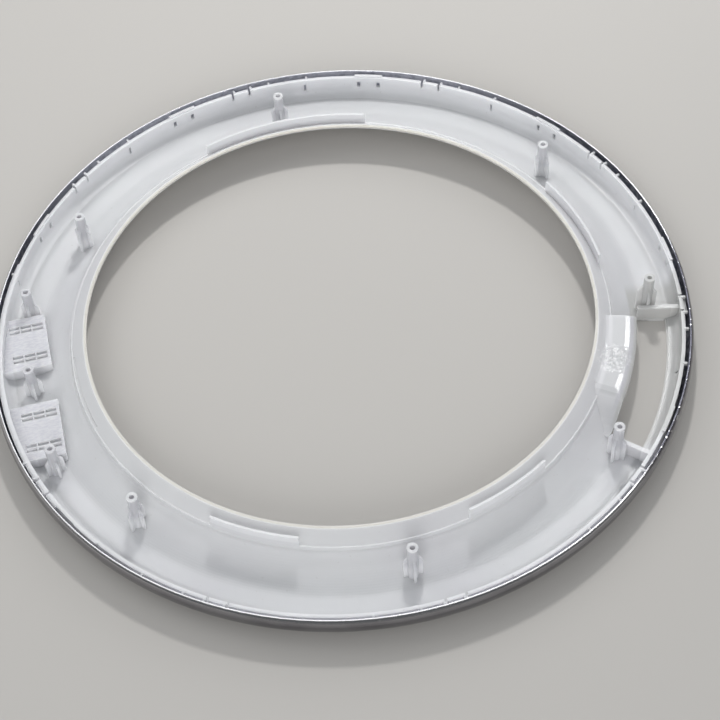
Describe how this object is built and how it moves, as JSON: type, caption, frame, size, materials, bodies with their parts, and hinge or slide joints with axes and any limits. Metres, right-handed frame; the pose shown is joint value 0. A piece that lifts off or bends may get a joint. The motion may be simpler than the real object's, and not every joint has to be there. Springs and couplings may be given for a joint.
{
  "type": "washing machine door frame",
  "caption": "Round white outer frame of a front-loading washing machine door, with a dished back, screw bosses, hinge pads, a handle opening and a bright trim ring.",
  "frame": {"origin": "axis of the ring, at the flat front face that it lies on", "axes": "+Z along the axis, from the front face to the inside of the door; -X to the hinge side; the handle opening lies between +X and -Y"},
  "size_m": [0.4833, 0.4834, 0.0362],
  "materials": {
    "white_plastic": "moulded, glossy in the channel, softer on the wall",
    "bright_trim": "mirror bright plating on plastic"
  },
  "bodies": {
    "root": {"frame": "white_plastic", "trim_ring": "bright_trim"}
  },
  "joints": []
}
